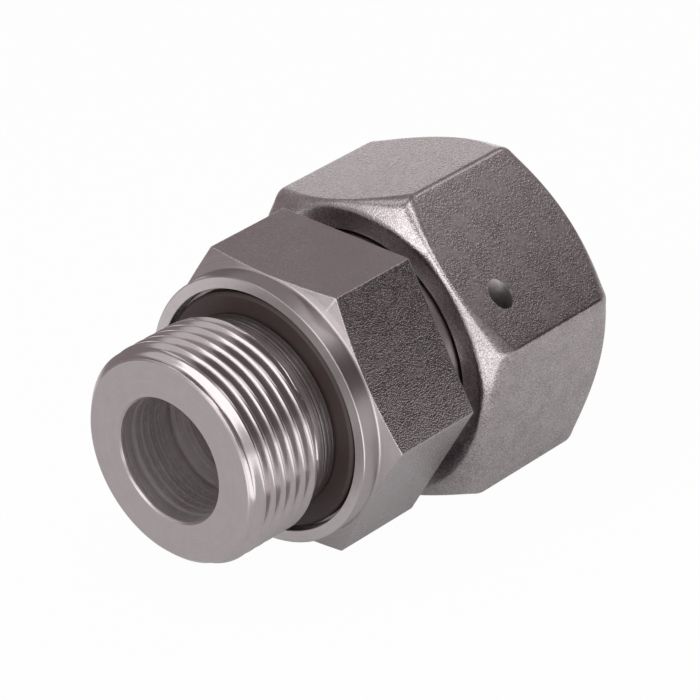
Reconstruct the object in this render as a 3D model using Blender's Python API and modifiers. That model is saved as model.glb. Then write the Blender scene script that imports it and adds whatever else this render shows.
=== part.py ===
# Hydraulic adapter: a straight stud adapter with a swivel nut.
#
# A male stud with a metric fine thread and a sealing ring in its collar, a hexagon, and a 24 degree
# cone that a swivel nut draws up. The nut is held on the neck by a wire in two half-round grooves.
#
# Every turned shape is a profile of radius and height about the local Z axis, with the stud's end face
# at height 0. One empty carries them all and lays the axis along world +X. The adapter lies as it would
# on a table: the nut on one flat, and the body's hexagon on the corner next to it.

import math

import bmesh
import bpy
from mathutils import Matrix, Vector

MM = 0.001

# Fit and fineness
GAP = 0.3 * MM                     # left between pieces that touch
OVERSIZE = 1.0 * MM                # how far blanks and cutters pass the surfaces that they make
MERGE = 0.001 * MM                 # points nearer than this are one
SIDES = 48                         # facets round a turned surface
ARC_STEPS = 6                      # facets along a groove arc
FILLET_STEPS = 3                   # facets along a fillet
DRILL_SIDES = 24
O_RING_SIDES = 10                  # facets round the O-ring's section
SHARP_ANGLE = math.radians(30.0)   # edges that turn more than this are shaded sharp

# Lengths along the axis, from the stud's end face to the nut's open end
STUD_LENGTH = 18.0 * MM            # end face to collar face
UNDERCUT_LENGTH = 5.0 * MM         # plain stud between the full thread and the collar face
COLLAR_LENGTH = 3.1 * MM           # round collar, before the hexagon's chamfer
BODY_WIDTH = 19.4 * MM             # collar and hexagon together
NUT_STAND_OFF = 3.3 * MM           # between the hexagon and the nut
NUT_LENGTH = 26.9 * MM
WIRE_FROM_NUT_FRONT = 7.2 * MM
NECK_PAST_WIRE = 3.1 * MM          # from the wire to the shoulder from which the cone rises
THREAD_PAST_NECK = 3.2 * MM        # from that shoulder to the nut's thread
CONE_SET_BACK = 3.5 * MM           # the cone's tip lies this far inside the nut's open end

# Hexagons, across flats
BODY_HEX_AF = 41.0 * MM
NUT_HEX_STEP = 5.0 * MM            # the nut's hexagon is larger by this
REST_CLEARANCE = 0.03 * MM         # under the body's lowest corner, while the nut lies on a flat
HEX_CHAMFER = math.radians(17.0)   # of the body's hexagon, measured from its end plane
NUT_CHAMFER = math.radians(30.0)
NUT_FACE_SET_IN = 0.8 * MM         # the nut's end faces are this much smaller than its flats, on the radius

# Stud end: metric fine thread of 33 mm with 2 mm pitch, 60 degree form
THREAD_PITCH = 2.0 * MM
THREAD_MAJOR_R = 16.47 * MM
THREAD_DEPTH = 0.6134 * THREAD_PITCH
THREAD_HALF_ANGLE = math.radians(30.0)
THREAD_CREST_FLAT = THREAD_PITCH / 8
THREAD_GROOVE_AT = 1.44 * MM       # height of the first groove where its helix starts
THREAD_RUN_OUT = 1.2 * MM
THREAD_SPARE_TURNS = 2             # of the cutter, before the first groove
UNDERCUT_BELOW_ROOT = 0.49 * MM
STUD_CHAMFER = 1.45 * MM           # across the end face
STUD_CHAMFER_LENGTH = 1.6 * MM     # along the axis

# Collar, and the recess in it for the stud's sealing ring
RECESS_WIDTH = 3.7 * MM            # from the stud to the recess's wall
RECESS_DEPTH = 2.0 * MM
COLLAR_WALL = 1.85 * MM
COLLAR_FILLET = 0.9 * MM
EDGE_BREAK = 0.25 * MM
RING_STANDS_IN = 0.1 * MM          # the ring's face lies this far inside the collar's face
RING_LIP = 0.45 * MM               # taper of the ring's lips

# Bore and 24 degree cone
BORE_R = 8.75 * MM
MOUTH_STEP = 0.6 * MM              # the bore is wider by this on the radius at the stud end
MOUTH_BORE_DEPTH = 10.4 * MM
MOUTH_CHAMFER = 0.3 * MM
BORE_STEP_ANGLE = math.radians(30.0)
CONE_HALF_ANGLE = math.radians(12.0)
TIP_WALL = 2.6 * MM                # the cone's wall at its tip
TIP_BREAK = 0.4 * MM
O_RING_SECTION_R = 1.2 * MM
O_RING_FROM_TIP = 4.0 * MM
O_RING_PROUD = 0.35 * MM           # above the cone

# Neck and retaining wire
NECK_R = 18.4 * MM
NECK_FILLET = 0.5 * MM
NECK_END_BREAK = 0.8 * MM
WIRE_R = 1.5 * MM
WIRE_ARC = math.radians(338.0)

# Inside of the nut: metric female thread of 36 mm with 2 mm pitch, shown by its minor diameter
NUT_THREAD_MAJOR_R = 18.0 * MM
NUT_THREAD_PITCH = 2.0 * MM
NUT_THREAD_DEPTH = 0.5413 * NUT_THREAD_PITCH
NUT_MOUTH_BREAK = 0.8 * MM

# Oblique hole in one of the nut's flats, through which the wire is fed
WIRE_HOLE_R = 1.85 * MM
WIRE_HOLE_OFF_CENTRE = 5.0 * MM    # along the flat, towards its lower corner
WIRE_HOLE_FLAT = math.radians(240.0)   # local direction of that flat's normal
WIRE_HOLE_RUN_IN = 3.4 * MM        # how far the drill goes on once it has met the wire's groove

# Sizes that follow from those above
THREAD_END = STUD_LENGTH - UNDERCUT_LENGTH
COLLAR_END = STUD_LENGTH + COLLAR_LENGTH
BODY_HEX_END = STUD_LENGTH + BODY_WIDTH
NUT_FRONT = BODY_HEX_END + NUT_STAND_OFF
NUT_REAR = NUT_FRONT + NUT_LENGTH
WIRE_AT = NUT_FRONT + WIRE_FROM_NUT_FRONT
NECK_END = WIRE_AT + NECK_PAST_WIRE
NUT_THREAD_START = NECK_END + THREAD_PAST_NECK
CONE_TIP = NUT_REAR - CONE_SET_BACK
O_RING_AT = CONE_TIP - O_RING_FROM_TIP

NUT_HEX_AF = BODY_HEX_AF + NUT_HEX_STEP
BODY_HEX_R = BODY_HEX_AF / math.sqrt(3)
NUT_HEX_R = NUT_HEX_AF / math.sqrt(3)
NUT_FACE_R = NUT_HEX_AF / 2 - NUT_FACE_SET_IN
# how far the body's lowest corner stands from straight down, when it is as low as the nut's flat
CORNER_FROM_DOWN = math.acos((NUT_HEX_AF / 2 - REST_CLEARANCE) / BODY_HEX_R)
HEX_CLOCKING = math.pi / 6 - CORNER_FROM_DOWN

THREAD_MINOR_R = THREAD_MAJOR_R - THREAD_DEPTH
UNDERCUT_R = THREAD_MINOR_R - UNDERCUT_BELOW_ROOT
RECESS_R = UNDERCUT_R + RECESS_WIDTH
COLLAR_R = RECESS_R + COLLAR_WALL
MOUTH_BORE_R = BORE_R + MOUTH_STEP
CONE_TIP_R = BORE_R + TIP_WALL
O_RING_CENTRE_R = CONE_TIP_R + O_RING_FROM_TIP * math.tan(CONE_HALF_ANGLE) + O_RING_PROUD - O_RING_SECTION_R
O_RING_GROOVE_R = O_RING_CENTRE_R - O_RING_SECTION_R - GAP
O_RING_GROOVE_HALF = O_RING_SECTION_R + GAP
NUT_BORE_R = NECK_R + GAP
NUT_THREAD_MINOR_R = NUT_THREAD_MAJOR_R - NUT_THREAD_DEPTH
WIRE_RING_R = (NECK_R + NUT_BORE_R) / 2
WIRE_GROOVE_R = WIRE_R + GAP


def clear_scene():
    for obj in list(bpy.data.objects):
        bpy.data.objects.remove(obj)
    for group in list(bpy.data.collections):
        bpy.data.collections.remove(group)


def make_collection(name):
    group = bpy.data.collections.new(name)
    bpy.context.scene.collection.children.link(group)
    return group


def make_material(name, colour, roughness, metallic):
    material = bpy.data.materials.new(name)
    material.use_nodes = True
    shader = material.node_tree.nodes["Principled BSDF"]
    shader.inputs["Base Color"].default_value = (*colour, 1.0)
    shader.inputs["Roughness"].default_value = roughness
    shader.inputs["Metallic"].default_value = metallic
    material.diffuse_color = (*colour, 1.0)
    return material


def make_smooth_by_angle():
    """Nodes that shade a finished shape smooth, but for the edges that turn more than SHARP_ANGLE."""
    group = bpy.data.node_groups.new("smooth_by_angle", "GeometryNodeTree")
    group.interface.new_socket("Geometry", in_out="INPUT", socket_type="NodeSocketGeometry")
    group.interface.new_socket("Geometry", in_out="OUTPUT", socket_type="NodeSocketGeometry")
    start = group.nodes.new("NodeGroupInput")
    end = group.nodes.new("NodeGroupOutput")
    turn = group.nodes.new("GeometryNodeInputMeshEdgeAngle")
    flat = group.nodes.new("FunctionNodeCompare")
    flat.operation = "LESS_EQUAL"
    flat.inputs[1].default_value = SHARP_ANGLE
    faces = group.nodes.new("GeometryNodeSetShadeSmooth")
    edges = group.nodes.new("GeometryNodeSetShadeSmooth")
    edges.domain = "EDGE"
    group.links.new(start.outputs["Geometry"], faces.inputs["Geometry"])
    group.links.new(faces.outputs["Geometry"], edges.inputs["Geometry"])
    group.links.new(turn.outputs["Unsigned Angle"], flat.inputs[0])
    group.links.new(flat.outputs["Result"], edges.inputs["Shade Smooth"])
    group.links.new(edges.outputs["Geometry"], end.inputs["Geometry"])
    return group


def add_object(name, data, group, parent=None):
    obj = bpy.data.objects.new(name, data)
    group.objects.link(obj)
    obj.parent = parent
    return obj


def arc(centre_r, centre_z, radius, start, end, steps=ARC_STEPS):
    """Points of a circular arc in the profile plane, from the start angle to the end angle."""
    points = []
    for i in range(steps + 1):
        angle = start + (end - start) * i / steps
        points.append((centre_r + radius * math.cos(angle), centre_z + radius * math.sin(angle)))
    return points


def profile_mesh(name, points):
    """A closed outline in the XZ plane, its outer side running down."""
    mesh = bpy.data.meshes.new(name)
    edges = [(i, (i + 1) % len(points)) for i in range(len(points))]
    mesh.from_pydata([(r, 0.0, z) for r, z in points], edges, [])
    return mesh


def add_screw(obj, turns=1, rise=0.0):
    screw = obj.modifiers.new("turn", "SCREW")
    screw.axis = "Z"
    screw.angle = 2 * math.pi
    screw.iterations = turns
    screw.screw_offset = rise
    screw.steps = SIDES
    screw.render_steps = SIDES
    screw.use_merge_vertices = rise == 0.0
    screw.merge_threshold = MERGE


def turned(name, points, group, parent):
    """A solid of revolution about the local Z axis."""
    obj = add_object(name, profile_mesh(name, points), group, parent)
    add_screw(obj)
    return obj


def add_cutter(name, mesh, group, parent):
    obj = add_object(name, mesh, group, parent)
    obj.hide_render = True
    obj.display_type = "WIRE"
    return obj


def helical_cutter(name, points, turns, pitch, start, group, parent):
    """A closed outline carried along a right-hand helix, with both ends capped."""
    obj = add_cutter(name, profile_mesh(name, [(r, z + start) for r, z in points]), group, parent)
    add_screw(obj, turns, pitch)
    depsgraph = bpy.context.evaluated_depsgraph_get()
    mesh = bpy.data.meshes.new_from_object(obj.evaluated_get(depsgraph))
    obj.modifiers.clear()
    shape = bmesh.new()
    shape.from_mesh(mesh)
    bmesh.ops.remove_doubles(shape, verts=shape.verts, dist=MERGE)
    bmesh.ops.holes_fill(shape, edges=[e for e in shape.edges if e.is_boundary], sides=0)
    bmesh.ops.recalc_face_normals(shape, faces=shape.faces)
    shape.to_mesh(mesh)
    shape.free()
    obj.data = mesh
    return obj


def bar_cutter(name, sides, radius, length, place, group, parent):
    """A straight bar with flat ends, its radius measured to the corners: a drill, or a hexagon."""
    shape = bmesh.new()
    bmesh.ops.create_cone(shape, cap_ends=True, segments=sides, radius1=radius, radius2=radius,
                          depth=length, matrix=place)
    mesh = bpy.data.meshes.new(name)
    shape.to_mesh(mesh)
    shape.free()
    return add_cutter(name, mesh, group, parent)


def hexagon(name, corner_r, turned_by, group, parent):
    """A hexagonal bar as long as the adapter. Unturned, two of its corners lie on the local Y axis."""
    place = Matrix.Translation((0, 0, NUT_REAR / 2)) @ Matrix.Rotation(turned_by, 4, "Z")
    return bar_cutter(name, 6, corner_r, NUT_REAR + 2 * OVERSIZE, place, group, parent)


def combine(obj, tool, operation):
    boolean = obj.modifiers.new(tool.name, "BOOLEAN")
    boolean.operation = operation
    boolean.solver = "EXACT"
    boolean.object = tool


def finish(obj, material, shading=None):
    obj.data.materials.clear()
    obj.data.materials.append(material)
    if shading:
        obj.modifiers.new("shade", "NODES").node_group = shading


def chamfer_height(radius, start_r, angle):
    """Height gained by a chamfer cone between two radii, its angle measured from the end plane."""
    return (radius - start_r) * math.tan(angle)


def stud_body_profile():
    """The body's outline: down the outside from the cone's tip to the stud's face, and up the bore."""

    def cone_r(height):
        return CONE_TIP_R + (CONE_TIP - height) * math.tan(CONE_HALF_ANGLE)

    groove_top = O_RING_AT + O_RING_GROOVE_HALF
    groove_bottom = O_RING_AT - O_RING_GROOVE_HALF
    points = [
        (CONE_TIP_R - TIP_BREAK, CONE_TIP),
        (cone_r(CONE_TIP - TIP_BREAK), CONE_TIP - TIP_BREAK),
        (cone_r(groove_top), groove_top),
        (O_RING_GROOVE_R, groove_top),
        (O_RING_GROOVE_R, groove_bottom),
        (cone_r(groove_bottom), groove_bottom),
        (cone_r(NECK_END), NECK_END),
        (NECK_R - NECK_END_BREAK, NECK_END),
        (NECK_R, NECK_END - NECK_END_BREAK),
    ]
    reach = math.asin((WIRE_RING_R - NECK_R) / WIRE_GROOVE_R)
    points += arc(WIRE_RING_R, WIRE_AT, WIRE_GROOVE_R, math.pi / 2 + reach, 3 * math.pi / 2 - reach)
    points += arc(NECK_R + NECK_FILLET, BODY_HEX_END + NECK_FILLET, NECK_FILLET,
                  math.pi, 3 * math.pi / 2, FILLET_STEPS)
    blank_r = BODY_HEX_R + OVERSIZE
    points += [
        (blank_r, BODY_HEX_END),
        (blank_r, COLLAR_END + chamfer_height(blank_r, COLLAR_R, HEX_CHAMFER)),
    ]
    reach = COLLAR_FILLET * math.tan((math.pi / 2 - HEX_CHAMFER) / 2)
    points += arc(COLLAR_R + COLLAR_FILLET, COLLAR_END - reach, COLLAR_FILLET,
                  math.pi / 2 + HEX_CHAMFER, math.pi, FILLET_STEPS)
    points += [
        (COLLAR_R, STUD_LENGTH + EDGE_BREAK),
        (COLLAR_R - EDGE_BREAK, STUD_LENGTH),
        (RECESS_R + EDGE_BREAK, STUD_LENGTH),
        (RECESS_R, STUD_LENGTH + EDGE_BREAK),
        (RECESS_R, STUD_LENGTH + RECESS_DEPTH),
        (UNDERCUT_R, STUD_LENGTH + RECESS_DEPTH),
        (UNDERCUT_R, THREAD_END + THREAD_RUN_OUT),
        (THREAD_MAJOR_R, THREAD_END),
        (THREAD_MAJOR_R, STUD_CHAMFER_LENGTH),
        (THREAD_MAJOR_R - STUD_CHAMFER, 0.0),
        (MOUTH_BORE_R + MOUTH_CHAMFER, 0.0),
        (MOUTH_BORE_R, MOUTH_CHAMFER),
        (MOUTH_BORE_R, MOUTH_BORE_DEPTH),
        (BORE_R, MOUTH_BORE_DEPTH + MOUTH_STEP / math.tan(BORE_STEP_ANGLE)),
        (BORE_R, CONE_TIP - TIP_BREAK),
        (BORE_R + TIP_BREAK, CONE_TIP),
    ]
    return points


def thread_groove_profile():
    """Section of the groove that is cut for the stud's thread, from its root to outside the crests."""
    half_top = (THREAD_PITCH - THREAD_CREST_FLAT) / 2
    half_root = half_top - THREAD_DEPTH * math.tan(THREAD_HALF_ANGLE)
    outside = THREAD_MAJOR_R + OVERSIZE
    return [
        (outside, half_top),
        (outside, -half_top),
        (THREAD_MAJOR_R, -half_top),
        (THREAD_MINOR_R, -half_root),
        (THREAD_MINOR_R, half_root),
        (THREAD_MAJOR_R, half_top),
    ]


def nut_profile():
    """The nut's outline: down the outside from the open end to the body's end, and back inside."""
    blank_r = NUT_HEX_R + OVERSIZE
    drop = chamfer_height(blank_r, NUT_FACE_R, NUT_CHAMFER)
    entry = NUT_THREAD_MAJOR_R + EDGE_BREAK
    points = [
        (NUT_FACE_R, NUT_REAR),
        (blank_r, NUT_REAR - drop),
        (blank_r, NUT_FRONT + drop),
        (NUT_FACE_R, NUT_FRONT),
        (NUT_BORE_R + NUT_MOUTH_BREAK, NUT_FRONT),
        (NUT_BORE_R, NUT_FRONT + NUT_MOUTH_BREAK),
    ]
    reach = math.asin((NUT_BORE_R - WIRE_RING_R) / WIRE_GROOVE_R)
    points += arc(WIRE_RING_R, WIRE_AT, WIRE_GROOVE_R, -math.pi / 2 + reach, math.pi / 2 - reach)
    points += [
        (NUT_BORE_R, NUT_THREAD_START - abs(NUT_BORE_R - NUT_THREAD_MINOR_R)),
        (NUT_THREAD_MINOR_R, NUT_THREAD_START),
        (NUT_THREAD_MINOR_R, NUT_REAR - (entry - NUT_THREAD_MINOR_R)),
        (entry, NUT_REAR),
    ]
    return points


def seal_ring_profile():
    """Section of the stud's sealing ring: flat back, and a lip that tapers to the recess's wall."""
    face = STUD_LENGTH + RING_STANDS_IN
    back = STUD_LENGTH + RECESS_DEPTH - GAP
    inner = UNDERCUT_R + GAP
    outer = RECESS_R - GAP
    return [
        (inner, back),
        (outer - RING_LIP, back),
        (outer, back - RING_LIP),
        (outer, face + RING_LIP),
        (outer - RING_LIP, face),
        (inner + RING_LIP, face),
        (inner, face + RING_LIP),
    ]


def wire_hole_drill(group, parent):
    """A drill that enters the flat aslant, on a line that touches the wire's circle."""
    normal = Vector((math.cos(WIRE_HOLE_FLAT), math.sin(WIRE_HOLE_FLAT), 0))
    along = Vector((-normal.y, normal.x, 0))
    apothem = NUT_HEX_AF / 2
    mouth = normal * apothem + along * WIRE_HOLE_OFF_CENTRE + Vector((0, 0, WIRE_AT))
    mouth_r = math.hypot(apothem, WIRE_HOLE_OFF_CENTRE)
    slant = math.asin(WIRE_RING_R / mouth_r) - math.atan2(WIRE_HOLE_OFF_CENTRE, apothem)
    inward = -normal * math.cos(slant) + along * math.sin(slant)
    # the groove is met between the mouth and the point where the line touches the wire's circle
    groove_outer_r = WIRE_RING_R + WIRE_GROOVE_R
    meets_groove = (math.sqrt(mouth_r ** 2 - WIRE_RING_R ** 2)
                    - math.sqrt(groove_outer_r ** 2 - WIRE_RING_R ** 2))
    start = mouth - inward * (2 * WIRE_HOLE_R)
    end = mouth + inward * (meets_groove + WIRE_HOLE_RUN_IN)
    turn = (end - start).to_track_quat("Z", "Y").to_matrix().to_4x4()
    place = Matrix.Translation((start + end) / 2) @ turn
    return bar_cutter("wire_hole_drill", DRILL_SIDES, WIRE_HOLE_R, (end - start).length, place, group, parent)


def make_wire(group, parent):
    """The retaining wire: an open ring, its gap at the hole that it was fed through."""
    curve = bpy.data.curves.new("retaining_wire", "CURVE")
    curve.dimensions = "3D"
    curve.bevel_depth = WIRE_R
    curve.bevel_resolution = 2
    curve.use_fill_caps = True
    spline = curve.splines.new("POLY")
    spline.points.add(SIDES - 1)
    start = WIRE_HOLE_FLAT + math.pi / 2 + (2 * math.pi - WIRE_ARC) / 2
    for i, point in enumerate(spline.points):
        angle = start + WIRE_ARC * i / (SIDES - 1)
        point.co = (WIRE_RING_R * math.cos(angle), WIRE_RING_R * math.sin(angle), WIRE_AT, 1)
    return add_object("retaining_wire", curve, group, parent)


def make_o_ring(group, parent):
    bpy.ops.mesh.primitive_torus_add(major_radius=O_RING_CENTRE_R, minor_radius=O_RING_SECTION_R,
                                     major_segments=SIDES, minor_segments=O_RING_SIDES)
    obj = bpy.context.object
    obj.name = "cone_o_ring"
    for owner in list(obj.users_collection):
        owner.objects.unlink(obj)
    group.objects.link(obj)
    obj.parent = parent
    obj.location = (0, 0, O_RING_AT)
    return obj


def main():
    clear_scene()
    parts = make_collection("hydraulic_adapter")
    cutters = make_collection("cutters")
    shading = make_smooth_by_angle()

    plated = make_material("plated_steel", (0.235, 0.212, 0.208), 0.34, 0.9)
    plated_nut = make_material("blasted_plated_steel", (0.215, 0.195, 0.19), 0.5, 0.9)
    spring = make_material("spring_wire", (0.3, 0.29, 0.28), 0.3, 1.0)
    seal = make_material("seal_rubber", (0.03, 0.02, 0.02), 0.5, 0.0)
    o_ring = make_material("o_ring_rubber", (0.02, 0.02, 0.02), 0.55, 0.0)

    # The empty lies on the adapter's axis at the stud's face, and turns local Z to world X
    axis = bpy.data.objects.new("adapter_axis", None)
    parts.objects.link(axis)
    axis.location = (-NUT_REAR / 2, 0, NUT_HEX_AF / 2)
    axis.rotation_euler = (0, math.pi / 2, 0)

    # Body: a turned blank, milled to its hexagon, then threaded
    body = turned("stud_body", stud_body_profile(), parts, axis)
    combine(body, hexagon("body_hexagon", BODY_HEX_R, HEX_CLOCKING, cutters, axis), "INTERSECT")
    turns = math.ceil((THREAD_END + THREAD_RUN_OUT) / THREAD_PITCH) + THREAD_SPARE_TURNS
    first = THREAD_GROOVE_AT - THREAD_SPARE_TURNS * THREAD_PITCH
    combine(body, helical_cutter("stud_thread_groove", thread_groove_profile(), turns, THREAD_PITCH,
                                 first, cutters, axis), "DIFFERENCE")
    finish(body, plated, shading)

    finish(turned("stud_seal_ring", seal_ring_profile(), parts, axis), seal, shading)

    # Nut: a turned blank, milled to its hexagon, then drilled for the wire
    nut = turned("swivel_nut", nut_profile(), parts, axis)
    combine(nut, hexagon("nut_hexagon", NUT_HEX_R, 0.0, cutters, axis), "INTERSECT")
    combine(nut, wire_hole_drill(cutters, axis), "DIFFERENCE")
    finish(nut, plated_nut, shading)

    finish(make_wire(parts, axis), spring)
    finish(make_o_ring(parts, axis), o_ring, shading)


main()
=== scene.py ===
# %% [markdown]
# A hydraulic adapter, dressed
#
# The adapter is a turned and milled steel fitting with a swivel nut. Its construction comes in as a fixed
# frame of plain solids, in metres. This file makes the fine surfaces around that frame: the rounded
# threads, the soft edges of the nut, the rubber rings, and the plated, blasted and turned finishes.
#
# Everything is placed from two lines of the frame: the adapter's axis, which runs along world X, and the
# stud's end face, from which all lengths are measured.

# %% Load the frame
import math

import bmesh
import bpy
import numpy as np
from mathutils import Matrix, Vector


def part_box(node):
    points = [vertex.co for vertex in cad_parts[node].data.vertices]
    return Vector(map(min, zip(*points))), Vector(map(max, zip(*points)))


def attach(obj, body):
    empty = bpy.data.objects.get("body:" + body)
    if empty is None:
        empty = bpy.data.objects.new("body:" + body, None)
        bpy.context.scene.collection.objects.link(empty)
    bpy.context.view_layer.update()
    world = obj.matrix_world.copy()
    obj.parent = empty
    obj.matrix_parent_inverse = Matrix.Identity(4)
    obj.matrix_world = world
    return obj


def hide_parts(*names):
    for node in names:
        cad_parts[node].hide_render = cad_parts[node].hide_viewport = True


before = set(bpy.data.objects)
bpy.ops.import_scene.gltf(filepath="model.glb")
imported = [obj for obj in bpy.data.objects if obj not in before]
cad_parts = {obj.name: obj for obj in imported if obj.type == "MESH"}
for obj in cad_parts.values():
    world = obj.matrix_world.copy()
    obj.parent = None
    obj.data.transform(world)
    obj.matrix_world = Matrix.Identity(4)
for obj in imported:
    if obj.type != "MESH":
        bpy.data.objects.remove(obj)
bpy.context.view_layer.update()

MM = 0.001

nut_low, nut_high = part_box("swivel_nut")
stud_low, stud_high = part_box("stud_body")
AXIS_HEIGHT = (nut_low.z + nut_high.z) / 2
STUD_FACE_X = stud_low.x
TO_WORLD = Matrix.Translation((STUD_FACE_X, 0, AXIS_HEIGHT))
print("axis at", round(AXIS_HEIGHT / MM, 2), "mm, stud face at", round(STUD_FACE_X / MM, 2), "mm")

# %% [markdown]
# Sizes
#
# The fitting is one long lathe job, so nearly every size is a radius or a length along the axis. They
# are the frame's own sizes, repeated here by name. Where the photograph shows finer work than the frame
# has, as in the groove under the sealing ring and the step in the bore, the finer size stands here.

# %% Lengths from the stud's end face
STUD_LENGTH = 18.0 * MM
RECESS_FLOOR = STUD_LENGTH + 2.0 * MM
COLLAR_END = 21.1 * MM
BODY_HEX_END = 37.4 * MM
MOUTH_DEPTH = 10.4 * MM
BORE_STEP = 2.6 * MM
NUT_FRONT = nut_low.x - STUD_FACE_X
NUT_REAR = nut_high.x - STUD_FACE_X
WIRE_AT = NUT_FRONT + 7.2 * MM
NECK_END = WIRE_AT + 3.1 * MM
NUT_THREAD_START = NECK_END + 3.2 * MM
CONE_TIP = stud_high.x - STUD_FACE_X
O_RING_FROM_TIP = 4.0 * MM
O_RING_AT = CONE_TIP - O_RING_FROM_TIP
print("nut from", round(NUT_FRONT / MM, 2), "to", round(NUT_REAR / MM, 2), "mm, its wire at",
      round(WIRE_AT / MM, 2), "mm")

# %% Hexagons and radii
NUT_HEX_AF = nut_high.z - nut_low.z
BODY_HEX_AF = NUT_HEX_AF - 5.0 * MM
REST_CLEARANCE = 0.03 * MM
BODY_TURN = math.pi / 6 - math.acos((NUT_HEX_AF / 2 - REST_CLEARANCE) / (BODY_HEX_AF / math.sqrt(3)))
NUT_FACE_R = NUT_HEX_AF / 2 - 0.8 * MM

THREAD_CREST_R = 16.47 * MM
UNDERCUT_R = 14.753 * MM
SEAT_R = UNDERCUT_R - 0.3 * MM
RECESS_R = 18.45 * MM
COLLAR_R = 20.3 * MM
BORE_R = 8.75 * MM
MOUTH_R = 9.35 * MM
NECK_R = 18.4 * MM
NUT_BORE_R = NECK_R + 0.3 * MM
WIRE_RING_R = (NECK_R + NUT_BORE_R) / 2
WIRE_GROOVE_R = 1.8 * MM
CONE_TIP_R = 11.35 * MM
CONE_ANGLE = math.radians(12)
CONE_R_AT_O_RING = CONE_TIP_R + O_RING_FROM_TIP * math.tan(CONE_ANGLE)
print("hexagons", round(BODY_HEX_AF / MM, 2), "and", round(NUT_HEX_AF / MM, 2), "mm across flats,",
      "body turned", round(math.degrees(BODY_TURN), 2), "degrees")

# %% [markdown]
# Colours and nodes
#
# Colours are written as sRGB hex values, as one would pick them on a screen, and one function turns them
# into the linear values that a shader wants. One more function adds any node, with its settings and its
# links, to a material or to a Geometry Nodes tree. It hands back the socket that the next node needs.

# %% Helpers for colours, nodes and objects
MATH, VECTOR_MATH, NOISE = "ShaderNodeMath", "ShaderNodeVectorMath", "ShaderNodeTexNoise"


def linear(hex_colour):
    """An sRGB colour such as #8F8A87 as linear red, green, blue and alpha."""
    parts = [int(hex_colour[i:i + 2], 16) / 255 for i in (1, 3, 5)]
    return [c / 12.92 if c <= 0.04045 else ((c + 0.055) / 1.055) ** 2.4 for c in parts] + [1.0]


def add(tree, kind, inputs=None, output=0, **settings):
    """Add a node with its settings, set or link its inputs, and give back one of its outputs."""
    made = tree.nodes.new(kind)
    for name, value in settings.items():
        setattr(made, name, value)
    for name, value in (inputs or {}).items():
        if isinstance(value, bpy.types.NodeSocket):
            tree.links.new(value, made.inputs[name])
        else:
            made.inputs[name].default_value = value
    return made.outputs[output] if len(made.outputs) else made


def add_object(name, data):
    """Put a mesh, a lamp or a camera into the scene."""
    made = bpy.data.objects.new(name, data)
    bpy.context.scene.collection.objects.link(made)
    return made


# %% [markdown]
# Where a lathe's lines run
#
# Turning leaves rings: on a cylinder they lie side by side along the axis, on an end face they lie one
# inside the other. Both are the same pattern if it is read from two numbers, the distance along the axis
# and the distance from it. The Object coordinates give these once a Mapping node has put their zero on
# the axis at the stud's face. Every metal finish below starts from them.

# %% A new surface and its lathe coordinates
def new_surface(name):
    """An empty material that is made of nodes, and its tree."""
    material = bpy.data.materials.new(name)
    material.use_nodes = True
    material.node_tree.nodes.clear()
    return material, material.node_tree


def lathe_coordinates(tree):
    """Object coordinates from the stud's face, and the same point as (along, from the axis, 0)."""
    place = add(tree, "ShaderNodeTexCoord", output="Object")
    place = add(tree, "ShaderNodeMapping", {"Vector": place, "Location": (-STUD_FACE_X, 0, -AXIS_HEIGHT)})
    across = add(tree, VECTOR_MATH, {0: place, 1: (0, 1, 1)}, operation="MULTIPLY")
    radius = add(tree, VECTOR_MATH, {0: across}, output="Value", operation="LENGTH")
    along = add(tree, "ShaderNodeSeparateXYZ", {0: place}, output="X")
    return place, add(tree, "ShaderNodeCombineXYZ", {"X": along, "Y": radius})


# %% [markdown]
# From maps to a metal
#
# A noise gives a number for each point, mostly between 0.3 and 0.7. One such number picks the colour from
# three shades of the plating, another sets the roughness, and Bump nodes lay the reliefs over each other.
# The reliefs do most of the work, because bare metal shows its shape by what it mirrors.

# %% A metal's shader
NOISE_LOW, NOISE_MIDDLE, NOISE_HIGH = 0.3, 0.5, 0.7


def finish_metal(tree, shades, tone, roughness, dullness, bumps):
    """A metal's shader: tone picks its shade, dullness its roughness, and bumps are (height, depth)."""
    ramp = add(tree, "ShaderNodeValToRGB", {"Fac": tone})
    dark, middle, light = [linear(shade) for shade in shades]
    stops = ramp.node.color_ramp.elements
    stops[0].position, stops[0].color = NOISE_LOW, dark
    stops[1].position, stops[1].color = NOISE_HIGH, light
    stops.new(NOISE_MIDDLE).color = middle
    rough = add(tree, "ShaderNodeMapRange", {"Value": dullness, "From Min": NOISE_LOW, "From Max": NOISE_HIGH,
                                             "To Min": roughness[0], "To Max": roughness[1]})
    normal = None
    for height, depth in bumps:
        inputs = {"Height": height, "Distance": depth, "Strength": 1.0}
        if normal is not None:
            inputs["Normal"] = normal
        normal = add(tree, "ShaderNodeBump", inputs)
    shader = add(tree, "ShaderNodeBsdfPrincipled",
                 {"Base Color": ramp, "Roughness": rough, "Metallic": 1.0, "Normal": normal})
    add(tree, "ShaderNodeOutputMaterial", {"Surface": shader})


# %% [markdown]
# Turned steel, plated with zinc and nickel
#
# The collar, the neck, the cone and the bore come straight from the lathe, and the plating follows every
# line that the tool left. The feed lines are about a tenth of a millimetre apart, which is finer than the
# render shows, so two coarser bands of lines stand in for them. A photograph of the rings would need a
# seamless image. A noise that is stretched into rings never repeats.

# %% A recipe for turned steel
TURNED_CLOUD_MM = 2.5
TURNED_GRAIN_MM = 0.16
FINE_LINES_PER_COARSE = 3
FINE_LINE_DEPTH = 0.4
CLOUD_SHARE = 0.45
TONE_GRAIN_SHARE = 0.3


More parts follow.
